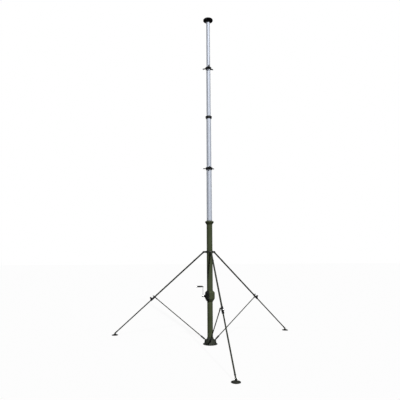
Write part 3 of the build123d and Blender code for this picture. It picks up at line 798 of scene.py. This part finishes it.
def makeHead():
    ribs = []
    for azimuth in (0, 90, 180, 270):
        bpy.ops.object.select_all(action="DESELECT")
        bpy.ops.mesh.primitive_plane_add(size=headRib["outer"])
        rib = bpy.context.object
        corners = (
            (headRib["inner"], headRib["sunk"]), (headRib["outer"], headRib["sunk"]),
            (headRib["inner"], -headRib["height"]), (headRib["outer"], -headRib["outerHeight"]),
        )
        for vertex, (radius, height) in zip(rib.data.vertices, corners):
            vertex.co = (radius, -headRib["thickness"] / 2, headRib["level"] + height)
        bpy.ops.object.mode_set(mode="EDIT")
        bpy.ops.mesh.select_all(action="SELECT")
        bpy.ops.mesh.extrude_region_move(TRANSFORM_OT_translate={"value": (0, headRib["thickness"], 0)})
        bpy.ops.object.mode_set(mode="OBJECT")
        soft = rib.modifiers.new("soft", "BEVEL")
        soft.width = headRib["edge"]
        soft.segments = 2
        bpy.ops.object.modifier_apply(modifier="soft")
        rib.data.transform(Matrix.Rotation(radians(azimuth), 4, "Z"))
        ribs.append(rib)
    done(joinPieces(ribs), "headRibs", "section_4", blackAlloy)
    bead = weldBead(headWeld)
    bead.data.transform(Matrix.Translation((0, 0, headWeld["level"])))
    done(bead, "headWeld", "section_4", blackAlloy)
    screws = spread(socketScrew(headScrews), [
        seat(around(azimuth, headScrews["circle"], headScrews["level"]), outward(azimuth))
        for azimuth in headScrews["azimuths"]
    ])
    done(screws, "headScrews", "section_4", darkSteel)


# Crank and grip
crank = {
    "height": 0.882, "hubFace": -0.1435, "gripHeight": 1.062, "gripStart": -0.139, "gripLength": 0.118,
    "pinFace": -0.1305,
}
crankWasher = {"inner": 0.0100, "outer": 0.0160, "low": 0, "high": 0.0018, "edge": 0.0005}
crankBolt = {
    "radius": 0.0048, "height": 0.004, "washerRadius": 0.0062, "washerHeight": 0.001,
    "place": -0.1345, "side": 0.0168, "drop": 0.002,
}
gripLook = {
    "radius": 0.015, "swell": 0.003, "ribs": 11, "proud": 0.0008, "sunk": 0.0012, "width": 0.0042,
    "flankProud": 0.6, "flankHalf": 0.8, "firstRib": 1.2, "ribSteps": 12.4,
}
gripPinHead = (
    (0.0005, 0), (0.0118, 0), (0.0130, 0.0012), (0.0130, 0.0050), (0.0112, 0.0072), (0.0005, 0.0080),
)


def gripRadius(share):
    # the barrel's radius from its inner end, 0, to its outer end, 1
    return gripLook["radius"] - gripLook["swell"] * (2 * share - 1) ** 2


def gripRib(share):
    radius, half = gripRadius(share), gripLook["width"] / 2
    root, crest = radius - gripLook["sunk"], radius + gripLook["proud"]
    flank, flankHalf = radius + gripLook["proud"] * gripLook["flankProud"], half * gripLook["flankHalf"]
    profile = [
        (root, -half), (flank, -flankHalf), (crest, 0), (flank, flankHalf), (root, half), (root, -half),
    ]
    place = (crank["gripStart"] - share * crank["gripLength"], 0, crank["gripHeight"])
    return ringAt(profile, place, Vector((-1, 0, 0)), segments=32, smoothAngle=60)


def makeCrank():
    west = Vector((-1, 0, 0))
    place = (crank["hubFace"], 0, crank["height"])
    washer = ringAt(tubeRing(*crankWasher.values()), place, west, segments=32)
    done(washer, "crankWasher", "crank", brightSteel)
    level = crank["height"] - crankBolt["drop"]
    pinch = spread(hexBolt(crankBolt), [
        seat((crankBolt["place"], way * crankBolt["side"], level), (0, way, 0)) for way in (1, -1)
    ])
    done(pinch, "crankPinchBolt", "crank", darkSteel)
    pin = (crank["pinFace"], 0, crank["gripHeight"])
    boss = ringAt(gripPinHead, pin, Vector((1, 0, 0)), segments=32)
    done(boss, "gripPinHead", "crank", darkSteel)
    first, steps = gripLook["firstRib"], gripLook["ribSteps"]
    rings = [gripRib((index + first) / steps) for index in range(gripLook["ribs"])]
    done(joinPieces(rings, smoothAngle=60), "gripRibs", "grip", blackRubber)


# Legs, braces and feet
legFittings = {
    "weldStation": 0.0275, "clampLow": 1.4628, "gripStation": 0.2620, "clampEnd": 1.5255,
    "bandStations": (1.4712, 1.5212), "knobStation": 1.5, "knobFoot": 0.027, "knobTop": 0.055,
    "plungerFoot": 0.0196, "eyeHalf": 0.008, "ferruleFromPin": 0.054,
}
legWeld = {"radius": 0.0150, "size": 0.0020, "ripples": 16}
legStops = (
    (legFittings["clampLow"], (0.0149, 0.0188, -0.0030, 0.0026, 0.0010)),
    (legFittings["gripStation"], (0.0149, 0.0186, -0.0050, 0.0050, 0.0014)),
    (legFittings["clampEnd"], (0.0124, 0.0168, 0, 0.0030, 0.0010)),
)
sliderBushes = (
    (1.3984, -1, (0.01535, 0.0192, 0, 0.0016, 0.0005)),
    (1.4576, 1, (0.01535, 0.0192, 0, 0.0012, 0.0004)),
)
clampBand = {"inner": 0.0190, "outer": 0.0212, "low": -0.0028, "high": 0.0028, "edge": 0.0008}
knobWasher = {"inner": 0.0038, "outer": 0.0098, "low": 0, "high": 0.0022, "edge": 0.0006}
braceWasher = {"inner": 0.0060, "outer": 0.0112, "low": 0, "high": 0.0014, "edge": 0.0004}
knobCap = (
    (0.0005, 0.0034), (0.0060, 0.0028), (0.0090, 0.0012), (0.0102, 0), (0.0102, -0.001), (0.0005, -0.001),
)
plungerProfile = (
    (0.0090, -0.002), (0.0090, 0.0060), (0.0080, 0.0072), (0.0050, 0.0078), (0.0050, 0.0130),
    (0.0088, 0.0142), (0.0100, 0.0162), (0.0100, 0.0228), (0.0088, 0.0250), (0.0040, 0.0260),
    (0.0005, 0.0262),
)
braceSleeve = {
    "start": ((0.0122, 0.0240), (0.0140, 0.0240), (0.0152, 0.0256)),
    "groove": ((0.0152, -0.0012), (0.0145, 0), (0.0145, 0.0024), (0.0152, 0.0036)),
    "grooves": (0.0512, 0.0612, 0.0712),
    "end": (
        (0.0152, 0.1044), (0.0140, 0.1100), (0.0088, 0.1112), (0.0088, 0.1080), (0.0122, 0.1080),
        (0.0122, 0.0240),
    ),
}
braceFerrule = (
    (0.0088, 0.0360), (0.0121, 0.0370), (0.0123, 0.0386), (0.0123, 0.0610), (0.0114, 0.0630),
    (0.0088, 0.0642), (0.0088, 0.0360),
)
lowerFerrule = (
    (0.0118, -0.0150), (0.0134, -0.0144), (0.0140, -0.0130), (0.0140, -0.0040), (0.0132, -0.0020),
    (0.0118, -0.0015), (0.0118, -0.0150),
)
footSole = (
    (0.0560, 0.0048), (0.0655, 0.0048), (0.0655, 0.0002), (0.0659, 0.0002), (0.0663, 0.0010),
    (0.0663, 0.0056), (0.0652, 0.0070), (0.0570, 0.0070), (0.0560, 0.0048),
)
footNuts = {
    "radius": 0.0078, "height": 0.005, "washerRadius": 0.0098, "washerHeight": 0.0014, "dome": 0.08,
    "half": 0.0145,
}
footRivets = {"radius": 0.0036, "height": 0.0016, "circle": 0.0490, "level": 0.0098}


def sleeveOutline():
    # the brace's lower sleeve, with three finger grooves and an end drawn in to the rod
    outline = list(braceSleeve["start"])
    for station in braceSleeve["grooves"]:
        outline += [(radius, station + step) for radius, step in braceSleeve["groove"]]
    return outline + list(braceSleeve["end"])


def makeUpperLeg(side, azimuth):
    along, outer = legAxis(azimuth), legOuter(azimuth)
    weld = weldBead(legWeld)
    weld.data.transform(seat(onLeg(azimuth, legFittings["weldStation"]), along))
    done(weld, f"{side}LegWeld", f"{side}_leg", darkOlivePaint)
    rubber = [
        ringAt(tubeRing(*ring), onLeg(azimuth, station), along, segments=36) for station, ring in legStops
    ]
    done(joinPieces(rubber), f"{side}LegStops", f"{side}_leg", blackRubber)
    bands = [
        ringAt(tubeRing(*clampBand.values()), onLeg(azimuth, station), along, segments=36)
        for station in legFittings["bandStations"]
    ]
    knobFoot = onLeg(azimuth, legFittings["knobStation"], legFittings["knobFoot"])
    bands.append(ringAt(tubeRing(*knobWasher.values()), knobFoot, outer, segments=28))
    done(joinPieces(bands), f"{side}ClampBands", f"{side}_leg", blackAlloy)
    knobTop = onLeg(azimuth, legFittings["knobStation"], legFittings["knobTop"])
    cap = ringAt(knobCap, knobTop, outer, segments=28, smoothAngle=50)
    done(cap, f"{side}KnobCap", f"{side}_leg", brightSteel)


def makeSlider(side, azimuth):
    along = legAxis(azimuth)
    bushes = [
        ringAt(tubeRing(*ring), onLeg(azimuth, station), along * way, segments=36)
        for station, way, ring in sliderBushes
    ]
    done(joinPieces(bushes), f"{side}SliderBushes", f"{side}_slider", blackPlastic)
    place = onLeg(azimuth, stand["jointStation"], legFittings["plungerFoot"])
    plunger = ringAt(plungerProfile, place, legOuter(azimuth), segments=24)
    done(plunger, f"{side}SliderPlunger", f"{side}_slider", blackPlastic)


def makeBrace(side, azimuth):
    across = sideways(azimuth)
    foot, top = braceEnds(azimuth)
    run = (top - foot).normalized()
    sleeve = ringAt(sleeveOutline(), foot, run, segments=36)
    ferrule = ringAt(braceFerrule, top, -run, segments=32)
    done(joinPieces([sleeve, ferrule]), f"{side}BraceSleeves", f"{side}_brace", blackPlastic)
    eye = top - across * legFittings["eyeHalf"]
    washer = ringAt(tubeRing(*braceWasher.values()), eye, -across, segments=28)
    done(washer, f"{side}JointWasher", f"{side}_brace", brightSteel)


def makeLowerLeg(side, azimuth):
    place = onLeg(azimuth, legLength - legFittings["ferruleFromPin"])
    ferrule = ringAt(lowerFerrule, place, legAxis(azimuth), segments=36)
    done(ferrule, f"{side}LowerFerrule", f"{side}_leg_extension", blackPlastic)


def makeFootPad(side, azimuth):
    across = sideways(azimuth)
    pad = around(azimuth, stand["footRadius"], 0, stand["legSide"])
    sole = ringAt(footSole, pad, segments=64)
    done(sole, f"{side}FootSole", f"{side}_foot", blackRubber)
    pin = pad + up * stand["footHeight"]
    nuts = spread(hexBolt(footNuts), [
        seat(pin + across * way * footNuts["half"], across * way) for way in (1, -1)
    ])
    done(nuts, f"{side}FootNuts", f"{side}_foot", brightSteel)
    rivets = spread(socketScrew(footRivets), [
        seat(pad + outward(azimuth + step) * footRivets["circle"] + up * footRivets["level"], up)
        for step in diagonals
    ])
    done(rivets, f"{side}FootScrews", f"{side}_foot", darkSteel)


makeFoot()
makePinNuts()
makeGearbox()
makeFlare()
makeBaseTube()
print("stand pieces")
for number in (1, 2, 3):
    makeCollar(number)
makeHead()
makeCrank()
print("mast pieces")
for side, azimuth in azimuths.items():
    for makePart in (makeUpperLeg, makeSlider, makeBrace, makeLowerLeg, makeFootPad):
        makePart(side, azimuth)
print("leg pieces")


# Floor, light and camera

studio = {
    "floorSize": 160.0, "floorLevel": -0.0005, "floorColour": (0.24, 0.24, 0.24),
    "floorDark": (0.21, 0.21, 0.21), "floorMottle": 0.03, "floorWhite": 0.86, "floorGlow": 1.10,
    "ambient": 0.09, "sideGlow": 0.95, "sideFrom": 0.35, "sideFull": 0.9, "sunStrength": 4.6,
    "sunAngle": 1.5, "sunAzimuth": 19.5, "sunElevation": 40.0, "sunDistance": 12,
}
lens = {
    "pixels": 365.16, "distance": 7.2326, "height": 1.6213, "azimuth": 8.562,
    "yaw": -1.468, "pitch": 8.895, "roll": -0.180, "frame": 400, "sensor": 36.0, "reach": 200,
}


def makeFloor():
    bpy.ops.object.select_all(action="DESELECT")
    bpy.ops.mesh.primitive_plane_add(size=studio["floorSize"], location=(0, 0, studio["floorLevel"]))
    bpy.ops.object.transform_apply(location=True, rotation=True, scale=True)
    floor = bpy.context.object
    floor.name = "floor"
    material, wire = newMaterial("paleFloor")
    place = wire.make("TexCoord").out("Object")
    tone = fractal(wire, place, 1.3, 3).clip(0.2, 0.8) * studio["floorMottle"]
    colour = mixColour(wire, tone, studio["floorColour"], studio["floorDark"])
    matt = wire.make("BsdfDiffuse", None, {"Color": colour})
    glow = wire.make("Emission", None, {"Color": (1, 1, 1, 1), "Strength": studio["floorGlow"]})
    rays = wire.make("LightPath")
    seen = wire.maths("MAXIMUM", rays.out("Is Camera Ray"), rays.out("Is Transmission Ray"))
    mix = wire.make("MixShader", None, {0: seen * studio["floorWhite"], 1: matt, 2: glow})
    wire.make("OutputMaterial", None, {"Surface": mix})
    floor.data.materials.append(material)


def makeWorld():
    world = bpy.data.worlds.new("studio")
    bpy.context.scene.world = world
    world.use_nodes = True
    world.node_tree.nodes.clear()
    wire = Wire(world.node_tree)
    rays = wire.make("LightPath")
    white = wire.maths("MAXIMUM", rays.out("Is Camera Ray"), rays.out("Is Transmission Ray"))
    direction = wire.make("TexCoord").out("Generated")
    across = wire.make("SeparateXYZ", None, {0: direction}).out("X")
    # reflections see the white backdrop before and behind, and dimmer walls at the sides
    wall = wire.maths("ABSOLUTE", across, 0).clip(studio["sideFrom"], studio["sideFull"])
    mirror = 1 - wall * (1 - studio["sideGlow"])
    seen = wire.maths("MAXIMUM", white, rays.out("Is Glossy Ray") * mirror)
    strength = wire.maths("MAXIMUM", seen, studio["ambient"])
    glow = wire.make("Background", None, {"Color": (1, 1, 1, 1), "Strength": strength})
    wire.make("OutputWorld", None, {"Surface": glow})


def makeSun():
    lamp = bpy.data.lights.new("key", "SUN")
    lamp.energy = studio["sunStrength"]
    lamp.angle = radians(studio["sunAngle"])
    key = bpy.data.objects.new("key", lamp)
    bpy.context.scene.collection.objects.link(key)
    turn = radians(studio["sunAzimuth"] - lens["azimuth"])
    lift = radians(studio["sunElevation"])
    towards = Vector((sin(turn) * cos(lift), -cos(turn) * cos(lift), sin(lift)))
    key.rotation_mode = "QUATERNION"
    key.rotation_quaternion = towards.to_track_quat("Z", "Y")
    key.location = towards * studio["sunDistance"]


def makeCamera():
    # the same camera as the photograph's, worked out from the feet, pivots and collars
    heading, yaw, pitch, roll = (radians(lens[key]) for key in ("azimuth", "yaw", "pitch", "roll"))
    ahead = Vector((sin(heading), cos(heading), 0))
    right = Vector((cos(heading), -sin(heading), 0))
    level = ahead * cos(yaw) + right * sin(yaw)
    right = right * cos(yaw) - ahead * sin(yaw)
    look = level * cos(pitch) + up * sin(pitch)
    top = up * cos(pitch) - level * sin(pitch)
    right, top = right * cos(roll) + top * sin(roll), top * cos(roll) - right * sin(roll)
    data = bpy.data.cameras.new("camera")
    data.sensor_fit = "HORIZONTAL"
    data.sensor_width = lens["sensor"]
    data.lens = lens["pixels"] / lens["frame"] * lens["sensor"]
    data.clip_end = lens["reach"]
    camera = bpy.data.objects.new("camera", data)
    bpy.context.scene.collection.objects.link(camera)
    camera.matrix_world = Matrix((
        (right.x, top.x, -look.x, -lens["distance"] * sin(heading)),
        (right.y, top.y, -look.y, -lens["distance"] * cos(heading)),
        (right.z, top.z, -look.z, lens["height"]),
        (0, 0, 0, 1),
    ))
    bpy.context.scene.camera = camera


makeFloor()
makeWorld()
makeSun()
makeCamera()
bpy.context.scene.view_settings.view_transform = "Standard"
print("floor, light and camera")
